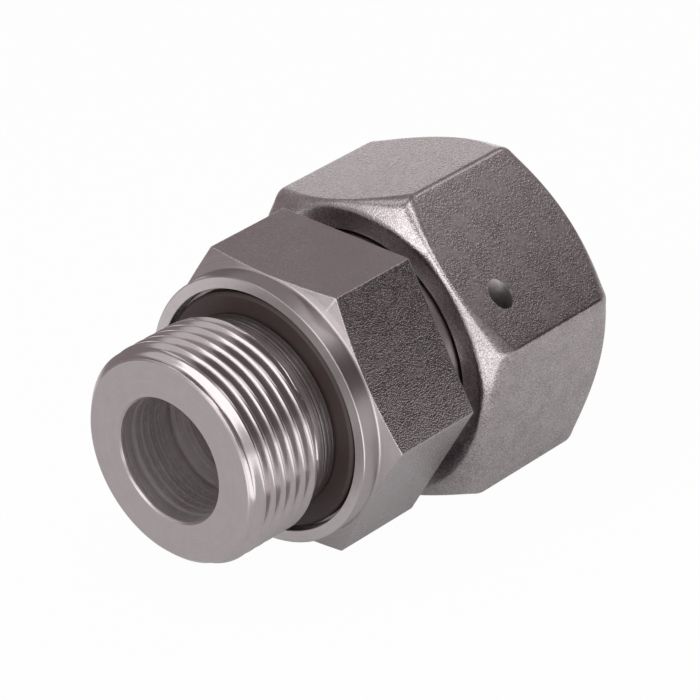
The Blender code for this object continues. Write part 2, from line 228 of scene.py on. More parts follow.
def turned_plated_steel(name, shades, line_mm, line_depth_mm, roughness, grain_depth_mm=0.004):
    """Steel turned on a lathe and plated: rings at two spacings, over slow clouds in the plating."""
    material, tree = new_surface(name)
    place, rings_at = lathe_coordinates(tree)
    coarse = add(tree, NOISE,
                 {"Vector": rings_at, "Scale": 1 / (line_mm * MM), "Detail": 2.0, "Roughness": 0.7})
    fine = add(tree, NOISE,
               {"Vector": rings_at, "Scale": FINE_LINES_PER_COARSE / (line_mm * MM), "Detail": 1.0})
    clouds = add(tree, NOISE,
                 {"Vector": place, "Scale": 1 / (TURNED_CLOUD_MM * MM), "Detail": 4.0, "Roughness": 0.65})
    grain = add(tree, NOISE, {"Vector": place, "Scale": 1 / (TURNED_GRAIN_MM * MM), "Detail": 2.0})
    tone = add(tree, "ShaderNodeMix", {"Factor": CLOUD_SHARE, "A": coarse, "B": clouds}, data_type="FLOAT")
    tone = add(tree, "ShaderNodeMix", {"Factor": TONE_GRAIN_SHARE, "A": tone, "B": grain}, data_type="FLOAT")
    finish_metal(tree, shades, tone, roughness, coarse,
                 [(coarse, line_depth_mm * MM), (fine, FINE_LINE_DEPTH * line_depth_mm * MM),
                  (grain, grain_depth_mm * MM)])
    return material


# %% The turned finishes
OUTSIDE_SHADES = ("#A9A3A4", "#B2ACAD", "#BAB4B5")
# painted reflection: the collar's end face has paler shades than the sides, standing in for the brighter
# light it mirrors
PAINTED_REFLECTION_FACE_SHADES = ("#C4BFC0", "#CFCACB", "#D6D1D2")
# painted light: the bore and the wire's hole have paler shades, standing in for light that reaches inside
# them
HOLE_SHADES_PAINTED_LIGHT = ("#BDB8B9", "#D6D1D2", "#E6E2E3")
RELIEF_SHADES = ("#8F8A8A", "#AAA4A5", "#C3BDBE")

# outsides: a fine feed, whose rings show as a soft sheen
turned_steel = turned_plated_steel("zinc_nickel_turned_steel", OUTSIDE_SHADES, 0.35, 0.015, (0.26, 0.36))
# the collar's end face: a facing cut, duller than the sides, with paler shades that are painted reflection of
# the light it mirrors
faced_steel_painted_reflection = turned_plated_steel("zinc_nickel_faced_steel", PAINTED_REFLECTION_FACE_SHADES, 0.3, 0.02, (0.4, 0.5))
# the undercut: a pointed tool left deep lines, seen as dark and light rings
relief_steel = turned_plated_steel("zinc_nickel_relief_steel", RELIEF_SHADES, 0.34, 0.11, (0.24, 0.34))
# the wire's hole: a drilled, dull wall, with paler shades that are painted light inside the hole
drilled_steel_painted_light = turned_plated_steel("zinc_nickel_drilled_steel", HOLE_SHADES_PAINTED_LIGHT, 0.4, 0.02, (0.36, 0.46))
# the bore: a long boring bar left a dull wall with coarse rings, and its pale shades are painted light inside
# the bore
bored_steel_painted_light = turned_plated_steel("zinc_nickel_bored_steel", HOLE_SHADES_PAINTED_LIGHT, 0.5, 0.05, (0.42, 0.58), 0.006)
print("turned finishes:", turned_steel.name, "to", bored_steel_painted_light.name)

# %% [markdown]
# Thread flanks
#
# The stud's thread is cut or rolled in several passes, and the plating is thin there, so its flanks are the
# smoothest surface on the part, with streaks that follow the groove. The grooves are nearly rings, so the
# lathe lines serve here too, closer together and shallower, broken by a fine grain.

# %% Threaded steel
thread_steel = turned_plated_steel("zinc_nickel_threaded_steel", OUTSIDE_SHADES, 0.22, 0.006, (0.14, 0.2),
                                   0.003)
print("thread finish:", thread_steel.name)

# %% [markdown]
# Drawn flats and the blasted nut
#
# The body is turned from drawn hexagon bar, so its flats keep the bar's skin, a fine rough relief that
# sparkles where light grazes it and looks plain where light falls on it squarely. The nut is forged,
# blasted with fine grit, and plated, which leaves small dents with no direction at all and a little
# more contrast in the plating. Both are noise in three dimensions, so the pattern runs on over edges as
# the real one does. The real grains are about a tenth of a millimetre wide. They are drawn at a fifth,
# because the render shows nothing finer.

# %% A recipe for grained steel
# noise is weak on the planes of its own lattice, so the lattice is turned, in radians, off every flat
GRAIN_TURN = (0.61, 1.13, 0.37)
GRAIN_MM = 0.2
DENTS_PER_GRAIN = 0.45
GRAINED_CLOUD_MM = 3.0
SPECK_CLOUD_SHARE = 0.3


def grained_plated_steel(name, shades, grain_depth_mm, dent_depth_mm, roughness):
    """Plated steel with a grain that has no direction: most of what shows is its relief."""
    material, tree = new_surface(name)
    place = lathe_coordinates(tree)[0]
    place = add(tree, "ShaderNodeMapping", {"Vector": place, "Rotation": GRAIN_TURN})
    grain = add(tree, NOISE, {"Vector": place, "Scale": 1 / (GRAIN_MM * MM), "Detail": 0.0})
    dents = add(tree, NOISE, {"Vector": place, "Scale": DENTS_PER_GRAIN / (GRAIN_MM * MM), "Detail": 0.0})
    clouds = add(tree, NOISE,
                 {"Vector": place, "Scale": 1 / (GRAINED_CLOUD_MM * MM), "Detail": 3.0, "Roughness": 0.6})
    tone = add(tree, "ShaderNodeMix", {"Factor": SPECK_CLOUD_SHARE, "A": grain, "B": clouds},
               data_type="FLOAT")
    finish_metal(tree, shades, tone, roughness, clouds,
                 [(dents, dent_depth_mm * MM), (grain, grain_depth_mm * MM)])
    return material


# %% Drawn bar skin, and blasted steel
DRAWN_SHADES = ("#A8A2A3", "#AFA9AA", "#B5AFB0")
BLAST_SHADES = ("#928C8D", "#ADA7A8", "#C8C2C3")
drawn_steel = grained_plated_steel("zinc_nickel_drawn_bar", DRAWN_SHADES, 0.05, 0.02, (0.22, 0.28))
blasted_steel = grained_plated_steel("zinc_nickel_blasted_steel", BLAST_SHADES, 0.025, 0.018, (0.255, 0.285))
print("grained finishes:", drawn_steel.name, blasted_steel.name)

# %% [markdown]
# Rubber and spring wire
#
# The sealing ring is a moulded elastomer, brown-black and matt, with a faint sheen where its lip was
# handled. The O-ring in the cone is plain black nitrile rubber. Rubber reflects like any plastic, so its
# IOR is 1.5 and it isn't metallic. The retaining wire is drawn spring steel, bright and smooth.

# %% Elastomer, nitrile rubber and wire
RUBBER_IOR = 1.5
RUBBER_TOOTH_DEPTH = 0.03 * MM


def moulded_rubber(name, low, high, roughness, tooth_mm):
    """A finished rubber: dark and dull, with the fine tooth of its mould."""
    material, tree = new_surface(name)
    place = lathe_coordinates(tree)[0]
    tooth = add(tree, NOISE, {"Vector": place, "Scale": 1 / (tooth_mm * MM), "Detail": 3.0})
    ramp = add(tree, "ShaderNodeValToRGB", {"Fac": tooth})
    ramp.node.color_ramp.elements[0].color = linear(low)
    ramp.node.color_ramp.elements[1].color = linear(high)
    normal = add(tree, "ShaderNodeBump", {"Height": tooth, "Distance": RUBBER_TOOTH_DEPTH, "Strength": 1.0})
    shader = add(tree, "ShaderNodeBsdfPrincipled",
                 {"Base Color": ramp, "Roughness": roughness, "IOR": RUBBER_IOR, "Normal": normal})
    add(tree, "ShaderNodeOutputMaterial", {"Surface": shader})
    return material


seal_elastomer = moulded_rubber("moulded_seal_elastomer", "#281C1C", "#40302F", 0.5, 0.25)
nitrile_rubber = moulded_rubber("moulded_nitrile_rubber", "#171717", "#262625", 0.45, 0.2)
spring_wire = turned_plated_steel("drawn_spring_wire", OUTSIDE_SHADES, 0.2, 0.01, (0.25, 0.4), 0.006)
print("rubbers and wire:", seal_elastomer.name, nitrile_rubber.name, spring_wire.name)

# %% [markdown]
# A lathe that can mill
#
# A turned part is one outline carried round an axis. A hexagon nut is nearly that too: at each angle its
# outline is the same, but for the outer radius, which follows the hexagon. So one function takes an
# outline that may change with the angle, and skins it. Every corner of the outline has its own round,
# and because each angle gives the same number of points, the rings always join up. A Boolean cut of a
# cylinder by a prism would give the same faces, but with ragged edges that can't be rounded well.

# %% An outline: corners with rounds
ROUND_STEPS = 4
LONGEST_REACH = 0.45


def corner(r, s, rounding=0.0, finish=0, steps=ROUND_STEPS):
    """A corner of an outline: radius, distance along, its round, and the finish of what follows it."""
    return (r, s, rounding, finish, steps if rounding else 0)


def rounded(corners):
    """The points of a closed outline with each round drawn as an arc, and the finish after each point."""
    points, finishes = [], []
    for i, (r, s, rounding, finish, steps) in enumerate(corners):
        here = np.array((r, s))
        before = np.array(corners[i - 1][:2]) - here
        after = np.array(corners[(i + 1) % len(corners)][:2]) - here
        before_length, after_length = np.linalg.norm(before), np.linalg.norm(after)
        finishes += [finish] * (steps + 1)
        if not steps:
            points.append(here)
            continue
        before, after = before / before_length, after / after_length
        half = math.acos(float(np.clip(before @ after, -1, 1))) / 2
        reach = min(rounding / math.tan(half), LONGEST_REACH * before_length, LONGEST_REACH * after_length)
        radius = reach * math.tan(half)
        middle = (before + after) / np.linalg.norm(before + after)
        side = (after - before) / np.linalg.norm(after - before)
        centre = here + middle * (radius / math.sin(half))
        for swing in np.linspace(half - math.pi / 2, math.pi / 2 - half, steps + 1):
            points.append(centre - radius * math.cos(swing) * middle + radius * math.sin(swing) * side)
    return np.array(points), finishes


def groove(centre_r, centre_s, radius, start, end, finish=0, steps=14):
    """Corners along an arc of the outline, for a groove of round section."""
    return [corner(centre_r + radius * math.cos(a), centre_s + radius * math.sin(a), finish=finish)
            for a in np.linspace(start, end, steps + 1)]


# %% [markdown]
# The hexagon itself is a radius for each angle. Its six long edges are rounded too, so the columns of the
# skin stand close together there and far apart on the flats.

# %% The hexagon: a radius for each angle
FLAT_COLUMNS = 30
EDGE_COLUMNS = 6


def hexagon_columns(across_flats, turned_by, edge_round):
    """Angles round the axis, from -180 to 180 degrees, and the hexagon's radius at each."""
    apothem = across_flats / 2
    centre_r = (apothem - edge_round) / math.cos(math.pi / 6)
    edge_half = math.atan2(edge_round / 2, centre_r + edge_round * math.cos(math.pi / 6))
    offsets = np.concatenate([np.linspace(-edge_half, edge_half, EDGE_COLUMNS + 1),
                              np.linspace(edge_half, math.pi / 3 - edge_half, FLAT_COLUMNS + 1)[1:-1]])
    angles = np.array([turned_by + side * math.pi / 3 + offset for side in range(6) for offset in offsets])
    angles = np.sort((angles + math.pi) % (2 * math.pi) - math.pi)
    columns = []
    for angle in np.concatenate([[-math.pi], angles, [math.pi]]):
        offset = (angle - turned_by + math.pi / 6) % (math.pi / 3) - math.pi / 6
        if abs(offset) <= edge_half:
            drift = centre_r * math.sin(offset)
            columns.append((angle, centre_r * math.cos(offset) + math.sqrt(edge_round ** 2 - drift ** 2)))
        else:
            columns.append((angle, apothem / math.cos(math.pi / 6 - abs(offset))))
    return columns


def round_columns(radius, count):
    """The same for a round piece."""
    return [(angle, radius) for angle in np.linspace(-math.pi, math.pi, count + 1)]


body_columns = hexagon_columns(BODY_HEX_AF, BODY_TURN, edge_round=0.3 * MM)
nut_columns = hexagon_columns(NUT_HEX_AF, 0, edge_round=1.0 * MM)
print(len(nut_columns), "columns; the nut is", round(2 * max(r for a, r in nut_columns) / MM, 2),
      "mm across its corners")

# %% [markdown]
# The skin joins each column of points to the next one with four-sided faces. It also writes two numbers
# on every point: how far round the turn it lies, and whether it belongs to the thread. The thread's
# Geometry Nodes tree reads both.

# %% Skin the outlines
def write_numbers(mesh, name, values):
    """Keep one number for each point of a mesh, for Geometry Nodes to read."""
    mesh.attributes.new(name, "FLOAT", "POINT").data.foreach_set("value", values)


def skin(name, columns, outline, materials, thread=None):
    """A closed solid about the local X axis: outline(radius, angle) gives the corners of each column."""
    rings = []
    for angle, outer_r in columns:
        points, finishes = rounded(outline(outer_r, angle))
        rings.append(np.column_stack([points[:, 1], points[:, 0] * math.cos(angle),
                                      points[:, 0] * math.sin(angle)]))
    rows = len(finishes)
    faces, slots = [], []
    for column in range(len(columns) - 1):
        for row in range(rows):
            here, there = column * rows, (column + 1) * rows
            after = (row + 1) % rows
            faces.append((here + row, there + row, there + after, here + after))
            slots.append(finishes[row])
    mesh = bpy.data.meshes.new(name)
    mesh.from_pydata(np.concatenate(rings).tolist(), [], faces)
    for material in materials:
        mesh.materials.append(material)
    mesh.polygons.foreach_set("material_index", slots)
    write_numbers(mesh, "turn", np.repeat([(a + math.pi) / (2 * math.pi) for a, r in columns], rows))
    write_numbers(mesh, "in_thread", np.tile([float(f == thread) for f in finishes], len(columns)))
    print(name, "has", len(columns), "columns of", rows, "points")
    return add_object(name, mesh)


# %% [markdown]
# Cutting a thread
#
# A thread is a groove that climbs one pitch in each turn. It could be swept along a helix and cut with a
# Boolean, which leaves slivers where the groove runs out. Here the skin already has rows of points in a
# band, and a Geometry Nodes tree winds those rows into a helix: each row climbs by one pitch over the
# turn, so after a turn every row meets the start of the next one. The tree then moves each point in or
# out by the thread's rounded form. The same tree cuts the nut's inside thread with Side at -1.

# %% The rows of a thread, before they are wound
ROWS_PER_PITCH = 20


def thread_rows(crest_r, start, end, pitch, finish):
    """Corners one row apart, from one pitch before the start to the end."""
    count = math.ceil((end - start) / pitch * ROWS_PER_PITCH) + ROWS_PER_PITCH
    return [corner(crest_r, start - pitch + row * pitch / ROWS_PER_PITCH, finish=finish)
            for row in range(count + 1)]


# %% A new Geometry Nodes tree
def new_tree(name, **inputs):
    """A tree that takes and gives a geometry, with more inputs listed by kind."""
    tree = bpy.data.node_groups.new(name, "GeometryNodeTree")
    for kind, labels in {"Geometry": ["Geometry"], **inputs}.items():
        for label in labels:
            tree.interface.new_socket(label, in_out="INPUT", socket_type="NodeSocket" + kind)
    tree.interface.new_socket("Geometry", in_out="OUTPUT", socket_type="NodeSocketGeometry")
    return tree, tree.nodes.new("NodeGroupInput").outputs


# %% [markdown]
# The form of a metric thread has flanks at 60 degrees to each other, a flat of an eighth of the pitch on
# the crest, and a round root. Half a pitch is a straight line from 1 on the crest to 0 in the root. It is
# made steeper and cut off at both ends, and the two cuts are made soft, which gives the rounds.

# %% The thread's form, in nodes
FORM_GAIN, FORM_SHIFT = 1.412, -0.235
CREST_SOFTNESS, ROOT_SOFTNESS = 0.12, 0.3


def thread_form(tree, height, climb, given):
    """Nodes: how deep a point at this height is sunk, from 0 on a crest to the thread's depth."""
    unwound = add(tree, MATH, {0: height, 1: climb}, operation="SUBTRACT")
    unwound = add(tree, MATH, {0: unwound, 1: given["Pitch"]}, operation="DIVIDE")
    unwound = add(tree, MATH, {0: unwound, 1: given["Phase"]}, operation="SUBTRACT")
    phase = add(tree, MATH, {0: unwound}, operation="FRACT")
    wave = add(tree, MATH, {0: phase, 1: 2.0, 2: -1.0}, operation="MULTIPLY_ADD")
    wave = add(tree, MATH, {0: wave}, operation="ABSOLUTE")
    form = add(tree, MATH, {0: wave, 1: FORM_GAIN, 2: FORM_SHIFT}, operation="MULTIPLY_ADD")
    form = add(tree, MATH, {0: form, 1: 1.0, 2: CREST_SOFTNESS}, operation="SMOOTH_MIN")
    form = add(tree, MATH, {0: form, 1: 0.0, 2: ROOT_SOFTNESS}, operation="SMOOTH_MAX")
    sunk = add(tree, MATH, {0: 1.0, 1: form}, operation="SUBTRACT")
    return add(tree, MATH, {0: sunk, 1: given["Depth"]}, operation="MULTIPLY")


# %% The chamfers that cut the crests away, in nodes
END_SOFTNESS = 0.12 * MM


def cut_ends(tree, level, height, given):
    """Nodes: hold the level below the cones of the start and end chamfers."""
    for end, far, near in (("Start", height, given["Start"]), ("End", given["End"], height)):
        away = add(tree, MATH, {0: far, 1: near}, operation="SUBTRACT")
        rise = add(tree, MATH, {0: away, 1: given[end + " Slope"]}, operation="MULTIPLY")
        base = add(tree, MATH, {0: given[end + " Radius"], 1: given["Side"]}, operation="MULTIPLY")
        limit = add(tree, MATH, {0: base, 1: rise}, operation="ADD")
        level = add(tree, MATH, {0: level, 1: limit, 2: END_SOFTNESS}, operation="SMOOTH_MIN")
    return level


# %% The tree that winds the rows and cuts them
WELD_DISTANCE = 0.001 * MM
TOUCHES_THREAD, WHOLLY_IN_THREAD = 0.5, 0.99


def thread_tree():
    """Geometry Nodes: wind the rows of the band into a helix and give them the thread's form."""
    tree, given = new_tree("cut_thread", Material=["Material"], Float=[
        "Pitch", "Depth", "Crest Radius", "Start", "Start Radius", "Start Slope", "End", "End Radius",
        "End Slope", "Side", "Phase"])
    turn = add(tree, "GeometryNodeInputNamedAttribute", {"Name": "turn"}, output="Attribute")
    band = add(tree, "GeometryNodeInputNamedAttribute", {"Name": "in_thread"}, output="Attribute")
    position = add(tree, "GeometryNodeInputPosition")
    row = add(tree, "ShaderNodeSeparateXYZ", {0: position}, output="X")

    # each row climbs by one pitch in the turn, and stays between the thread's ends
    climb = add(tree, MATH, {0: given["Pitch"], 1: turn}, operation="MULTIPLY")
    height = add(tree, MATH, {0: row, 1: climb}, operation="ADD")
    height = add(tree, "ShaderNodeClamp", {"Value": height, "Min": given["Start"], "Max": given["End"]})

    # Side turns an inside thread over, so that the same sums serve both
    crest = add(tree, MATH, {0: given["Crest Radius"], 1: given["Side"]}, operation="MULTIPLY")
    level = add(tree, MATH, {0: crest, 1: thread_form(tree, height, climb, given)},
                operation="SUBTRACT")
    level = cut_ends(tree, level, height, given)
    radius = add(tree, MATH, {0: level, 1: given["Side"]}, operation="MULTIPLY")

    across = add(tree, VECTOR_MATH, {0: position, 1: (0, 1, 1)}, operation="MULTIPLY")
    outward = add(tree, VECTOR_MATH, {0: across}, operation="NORMALIZE")
    out = add(tree, VECTOR_MATH, {0: outward, "Scale": radius}, operation="SCALE")
    along = add(tree, "ShaderNodeCombineXYZ", {"X": height})
    placed = add(tree, VECTOR_MATH, {0: out, 1: along}, operation="ADD")
    chosen = add(tree, "FunctionNodeCompare", {0: band, 1: TOUCHES_THREAD}, data_type="FLOAT",
                 operation="GREATER_THAN")
    moved = add(tree, "GeometryNodeSetPosition",
                {"Geometry": given["Geometry"], "Selection": chosen, "Position": placed})
    merged = add(tree, "GeometryNodeMergeByDistance", {"Geometry": moved, "Distance": WELD_DISTANCE})
    whole = add(tree, "GeometryNodeRealizeInstances", {"Geometry": merged})
    all_in = add(tree, "FunctionNodeCompare", {0: band, 1: WHOLLY_IN_THREAD}, data_type="FLOAT",
                 operation="GREATER_THAN")
    dressed = add(tree, "GeometryNodeSetMaterial",
                  {"Geometry": whole, "Selection": all_in, "Material": given["Material"]})
    add(tree, "NodeGroupOutput", {"Geometry": dressed})
    return tree


# %% Run a tree on an object
def evaluated_mesh(made):
    """The object's mesh with its modifiers applied, and the modifiers removed."""
    graph = bpy.context.evaluated_depsgraph_get()
    mesh = bpy.data.meshes.new_from_object(made.evaluated_get(graph), preserve_all_data_layers=True,
                                           depsgraph=graph)
    made.modifiers.clear()
    made.data = mesh
    return mesh


def run_tree(made, tree, values):
    """Run a tree on an object, its inputs set by their identifiers, and keep the result as a mesh."""
    modifier = made.modifiers.new(tree.name, "NODES")
    modifier.node_group = tree
    for item in tree.interface.items_tree:
        if item.in_out == "INPUT" and item.name in values:
            modifier[item.identifier] = values[item.name]
    return evaluated_mesh(made)


cut_thread = thread_tree()
print("thread tree with", len(cut_thread.nodes), "nodes")

# %% [markdown]
# Edges and shading
#
# A rounded edge looks right only if the flat beside it stays flat. Smooth shading alone would bend the
# light over the whole flat. The Weighted Normal modifier lets the large faces decide, so only the narrow
# faces of the round bend the light. Edges that were left sharp on purpose are marked first.

# %% Finish a piece: place, shading, and its place in the frame
SHARP_ANGLE = math.radians(40)


def merge_points(mesh):
    """Join points that coincide, such as the two ends of the turn."""
    work = bmesh.new()
    work.from_mesh(mesh)
    bmesh.ops.remove_doubles(work, verts=work.verts, dist=WELD_DISTANCE)
    work.to_mesh(mesh)
    work.free()


def complete(made, body, node):
    """Move the mesh to its place in the world, shade it, and let it stand for its node."""
    made.data.transform(TO_WORLD)
    made.data.shade_smooth()
    made.data.set_sharp_from_angle(angle=SHARP_ANGLE)
    weights = made.modifiers.new("flat_faces_lead", "WEIGHTED_NORMAL")
    weights.keep_sharp = True
    mesh = evaluated_mesh(made)
    for name in ("turn", "in_thread"):
        if name in mesh.attributes:
            mesh.attributes.remove(mesh.attributes[name])
    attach(made, body)
    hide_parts(node)
    mesh.calc_loop_triangles()
    print(made.name, len(mesh.loop_triangles), "triangles")


# %% [markdown]
# The body
#
# One bar of hexagon steel became the stud, the collar, the hexagon, the neck and the cone. The outline
# starts at the bore's mouth, runs over the stud and along the outside to the cone's tip, and comes back
# through the bore. Only the hexagon's radius changes with the angle. The collar meets the hexagon's
# chamfer in a small fillet. Its points are the same at every angle, and only the chamfer's last one
# moves out with the flats, so no ring of points twists.

# %% The shoulder between collar and hexagon
HEX_CHAMFER = math.radians(17)
COLLAR_FILLET = 0.4 * MM
FILLET_POINTS = 10
LEAST_CHAMFER = 0.02 * MM


def shoulder(outer_r):
    """Points of the fillet and the chamfer from the collar out to the flat, the last one on the flat."""
    reach = COLLAR_FILLET * math.tan((math.pi / 2 - HEX_CHAMFER) / 2)
    fillet_end_r = min(outer_r - LEAST_CHAMFER, COLLAR_R + COLLAR_FILLET * (1 - math.sin(HEX_CHAMFER)))
    last = math.acos((fillet_end_r - COLLAR_R) / COLLAR_FILLET - 1)
    path = [(COLLAR_R + COLLAR_FILLET * (1 + math.cos(a)), COLLAR_END - reach + COLLAR_FILLET * math.sin(a))
            for a in np.linspace(math.pi, last, FILLET_POINTS)]
    path.append((outer_r, path[-1][1] + (outer_r - fillet_end_r) * math.tan(HEX_CHAMFER)))
    return path


print("the chamfer meets the middle of a flat", round(shoulder(BODY_HEX_AF / 2)[-1][1] / MM, 2),
      "mm from the stud's face")

# %% Rounds and bevels of the turned edges
FINE_ROUND = 0.05 * MM
BEVEL_ROUND = 0.08 * MM
EDGE_ROUND = 0.1 * MM
EDGE_BEVEL = 0.1 * MM
FLOOR_ROUND = 0.2 * MM
TIP_ROUND = 0.4 * MM
TURNED, THREADED, BORED, DRAWN, FACED, RELIEF = range(6)

# %% The stud, from the bore's mouth to the end of its thread
STUD_PITCH = 2.0 * MM
STUD_THREAD_START = 0.25 * MM
STUD_THREAD_END = 14.2 * MM
STUD_CHAMFER_DEPTH = 1.45 * MM
STUD_CHAMFER_LENGTH = 1.6 * MM
STUD_CHAMFER_SLOPE = STUD_CHAMFER_DEPTH / STUD_CHAMFER_LENGTH
STUD_EDGE_R = THREAD_CREST_R - STUD_CHAMFER_DEPTH
MOUTH_BEVEL = 0.3 * MM


def stud_corners():
    """The stud's end face, the first step of its chamfer, and the thread."""
    return [
        corner(MOUTH_R + MOUTH_BEVEL, 0, BEVEL_ROUND, TURNED),
        corner(STUD_EDGE_R, 0, EDGE_ROUND, TURNED),
        corner(STUD_EDGE_R + 0.15 * MM, 0.2 * MM, finish=TURNED),
    ] + thread_rows(THREAD_CREST_R, STUD_THREAD_START, STUD_THREAD_END, STUD_PITCH, THREADED)


# %% The undercut, the recess for the seal, and the collar
COLLAR_BEVEL = 0.13 * MM
COLLAR_BEVEL_ROUND = 0.07 * MM


def collar_corners():
    """The undercut behind the thread, the recess that holds the sealing ring, and the collar's face."""
    return [
        corner(UNDERCUT_R, STUD_THREAD_END + EDGE_BEVEL, finish=RELIEF),
        corner(UNDERCUT_R, STUD_LENGTH - EDGE_BEVEL, 0.12 * MM, TURNED),
        corner(SEAT_R, STUD_LENGTH + EDGE_BEVEL, FINE_ROUND, TURNED),
        corner(SEAT_R, RECESS_FLOOR, FLOOR_ROUND, TURNED),
        corner(RECESS_R, RECESS_FLOOR, EDGE_ROUND, TURNED),
        corner(RECESS_R, STUD_LENGTH + EDGE_BEVEL, FINE_ROUND, TURNED),
        corner(RECESS_R + EDGE_BEVEL, STUD_LENGTH, FINE_ROUND, FACED),
        corner(COLLAR_R - COLLAR_BEVEL, STUD_LENGTH, COLLAR_BEVEL_ROUND, TURNED),
        corner(COLLAR_R, STUD_LENGTH + COLLAR_BEVEL, COLLAR_BEVEL_ROUND, TURNED),
    ]


# %% The hexagon and the neck with the wire's groove
NECK_CHAMFER = 0.8 * MM


def hexagon_and_neck_corners(outer_r):
    """The shoulder, the hexagon's flat at this radius, and the neck with its half of the groove."""
    lean = math.asin((WIRE_RING_R - NECK_R) / WIRE_GROOVE_R)
    *rise, (flat_r, flat_s) = shoulder(outer_r)
    corners = [corner(r, s, finish=TURNED) for r, s in rise]
    corners += [
        corner(flat_r, flat_s, 0.2 * MM, DRAWN),
        corner(outer_r, BODY_HEX_END, 0.25 * MM, TURNED),
        corner(NECK_R, BODY_HEX_END, 0.5 * MM, TURNED),
    ]
    corners += groove(WIRE_RING_R, WIRE_AT, WIRE_GROOVE_R, -math.pi / 2 - lean, -3 * math.pi / 2 + lean)
    corners += [
        corner(NECK_R, NECK_END - NECK_CHAMFER, EDGE_ROUND, TURNED),
        corner(NECK_R - NECK_CHAMFER, NECK_END, EDGE_ROUND, TURNED),
    ]
    return corners


# %% The cone with its O-ring's groove, and the bore
O_RING_GROOVE_HALF = 1.5 * MM
O_RING_GROOVE_DEPTH = 2.35 * MM


def cone_r(s):
    """The cone's radius at a distance from the stud's face."""
    return CONE_TIP_R + (CONE_TIP - s) * math.tan(CONE_ANGLE)


def cone_and_bore_corners():
    """The 24 degree cone, the groove for its O-ring, and the bore back to its mouth."""
    low, high = O_RING_AT - O_RING_GROOVE_HALF, O_RING_AT + O_RING_GROOVE_HALF
    floor_r = CONE_R_AT_O_RING - O_RING_GROOVE_DEPTH
    return [
        corner(cone_r(NECK_END), NECK_END, TIP_ROUND, TURNED),
        corner(cone_r(low), low, EDGE_ROUND, TURNED),
        corner(floor_r, low, FLOOR_ROUND, TURNED),
        corner(floor_r, high, FLOOR_ROUND, TURNED),
        corner(cone_r(high), high, EDGE_ROUND, TURNED),
        corner(CONE_TIP_R, CONE_TIP, TIP_ROUND, TURNED),
        corner(BORE_R, CONE_TIP, TIP_ROUND, BORED),
        corner(BORE_R, MOUTH_DEPTH + BORE_STEP, EDGE_ROUND, BORED),
        corner(MOUTH_R, MOUTH_DEPTH, EDGE_ROUND, BORED),
        corner(MOUTH_R, MOUTH_BEVEL, BEVEL_ROUND, TURNED),
    ]


# %% Skin the body and cut its thread
EXTERNAL_THREAD_DEPTH = 0.6134
RUN_OUT_SLOPE = 1.43
STUD_THREAD_PHASE = -0.03


def body_outline(outer_r, angle):
    """The body's outline where the hexagon has this radius."""
    return (stud_corners() + collar_corners() + hexagon_and_neck_corners(outer_r)
            + cone_and_bore_corners())


body_finishes = [turned_steel, thread_steel, bored_steel_painted_light, drawn_steel, faced_steel_painted_reflection, relief_steel]
body = skin("adapter_body", body_columns, body_outline, body_finishes, thread=THREADED)
run_tree(body, cut_thread, {
    "Pitch": STUD_PITCH, "Depth": EXTERNAL_THREAD_DEPTH * STUD_PITCH, "Crest Radius": THREAD_CREST_R,
    "Start": STUD_THREAD_START, "Start Slope": STUD_CHAMFER_SLOPE,
    "Start Radius": STUD_EDGE_R + STUD_CHAMFER_SLOPE * STUD_THREAD_START,
    "End": STUD_THREAD_END, "End Radius": UNDERCUT_R, "End Slope": RUN_OUT_SLOPE,
    "Side": 1.0, "Phase": STUD_THREAD_PHASE, "Material": thread_steel})
complete(body, "fitting", "stud_body")

# %% [markdown]
# The swivel nut
#
# The nut turns on the neck, held by a wire that fills two facing grooves. Its outer corners are soft, as
# blasting leaves them. Inside are the mouth that runs on the neck, the wire's groove, and a metric
# thread for the mating cone.

# %% The nut's outline
METRIC_PITCH = 2.0 * MM
NUT_MINOR_R = 16.917 * MM
NUT_THREAD_LOW = NUT_THREAD_START - (NUT_BORE_R - NUT_MINOR_R)
NUT_FIRST_STEP = 0.2 * MM
NUT_LAST_STEP = 0.25 * MM
NUT_THREAD_FIRST = NUT_THREAD_LOW + NUT_FIRST_STEP
NUT_THREAD_LAST = NUT_REAR - NUT_LAST_STEP
NUT_ENTRY_R = 18.25 * MM
NUT_ENTRY_BEVEL = 0.2 * MM
NUT_BORE_BEVEL = 0.15 * MM
NUT_CHAMFER = math.radians(30)
NUT_FACE_ROUND = 2.0 * MM
NUT_CORNER_ROUND = 3.2 * MM
BLASTED, NUT_TURNED, NUT_THREADED = range(3)


def nut_outline(outer_r, angle):
    """The nut's outline where the hexagon has this radius."""
    lean = math.asin((NUT_BORE_R - WIRE_RING_R) / WIRE_GROOVE_R)
    drop = (outer_r - NUT_FACE_R) * math.tan(NUT_CHAMFER)
    corners = [
        corner(NUT_BORE_R + NUT_BORE_BEVEL, NUT_FRONT, BEVEL_ROUND, BLASTED),
        corner(NUT_FACE_R, NUT_FRONT, NUT_FACE_ROUND, BLASTED, steps=6),
        corner(outer_r, NUT_FRONT + drop, NUT_CORNER_ROUND, BLASTED, steps=8),
        corner(outer_r, NUT_REAR - drop, NUT_CORNER_ROUND, BLASTED, steps=8),
        corner(NUT_FACE_R, NUT_REAR, NUT_FACE_ROUND, BLASTED, steps=6),
        corner(NUT_ENTRY_R, NUT_REAR, 0.12 * MM, NUT_TURNED),
        corner(NUT_ENTRY_R - NUT_ENTRY_BEVEL, NUT_REAR - NUT_ENTRY_BEVEL, finish=NUT_TURNED),
    ]
    corners += thread_rows(NUT_MINOR_R, NUT_THREAD_FIRST, NUT_THREAD_LAST, METRIC_PITCH, NUT_THREADED)[::-1]
    corners += [corner(NUT_BORE_R, NUT_THREAD_LOW, finish=NUT_TURNED)]
    corners += groove(WIRE_RING_R, WIRE_AT, WIRE_GROOVE_R, math.pi / 2 - lean, lean - math.pi / 2,
                      NUT_TURNED)
    corners += [corner(NUT_BORE_R, NUT_FRONT + NUT_BORE_BEVEL, BEVEL_ROUND, NUT_TURNED)]
    return corners


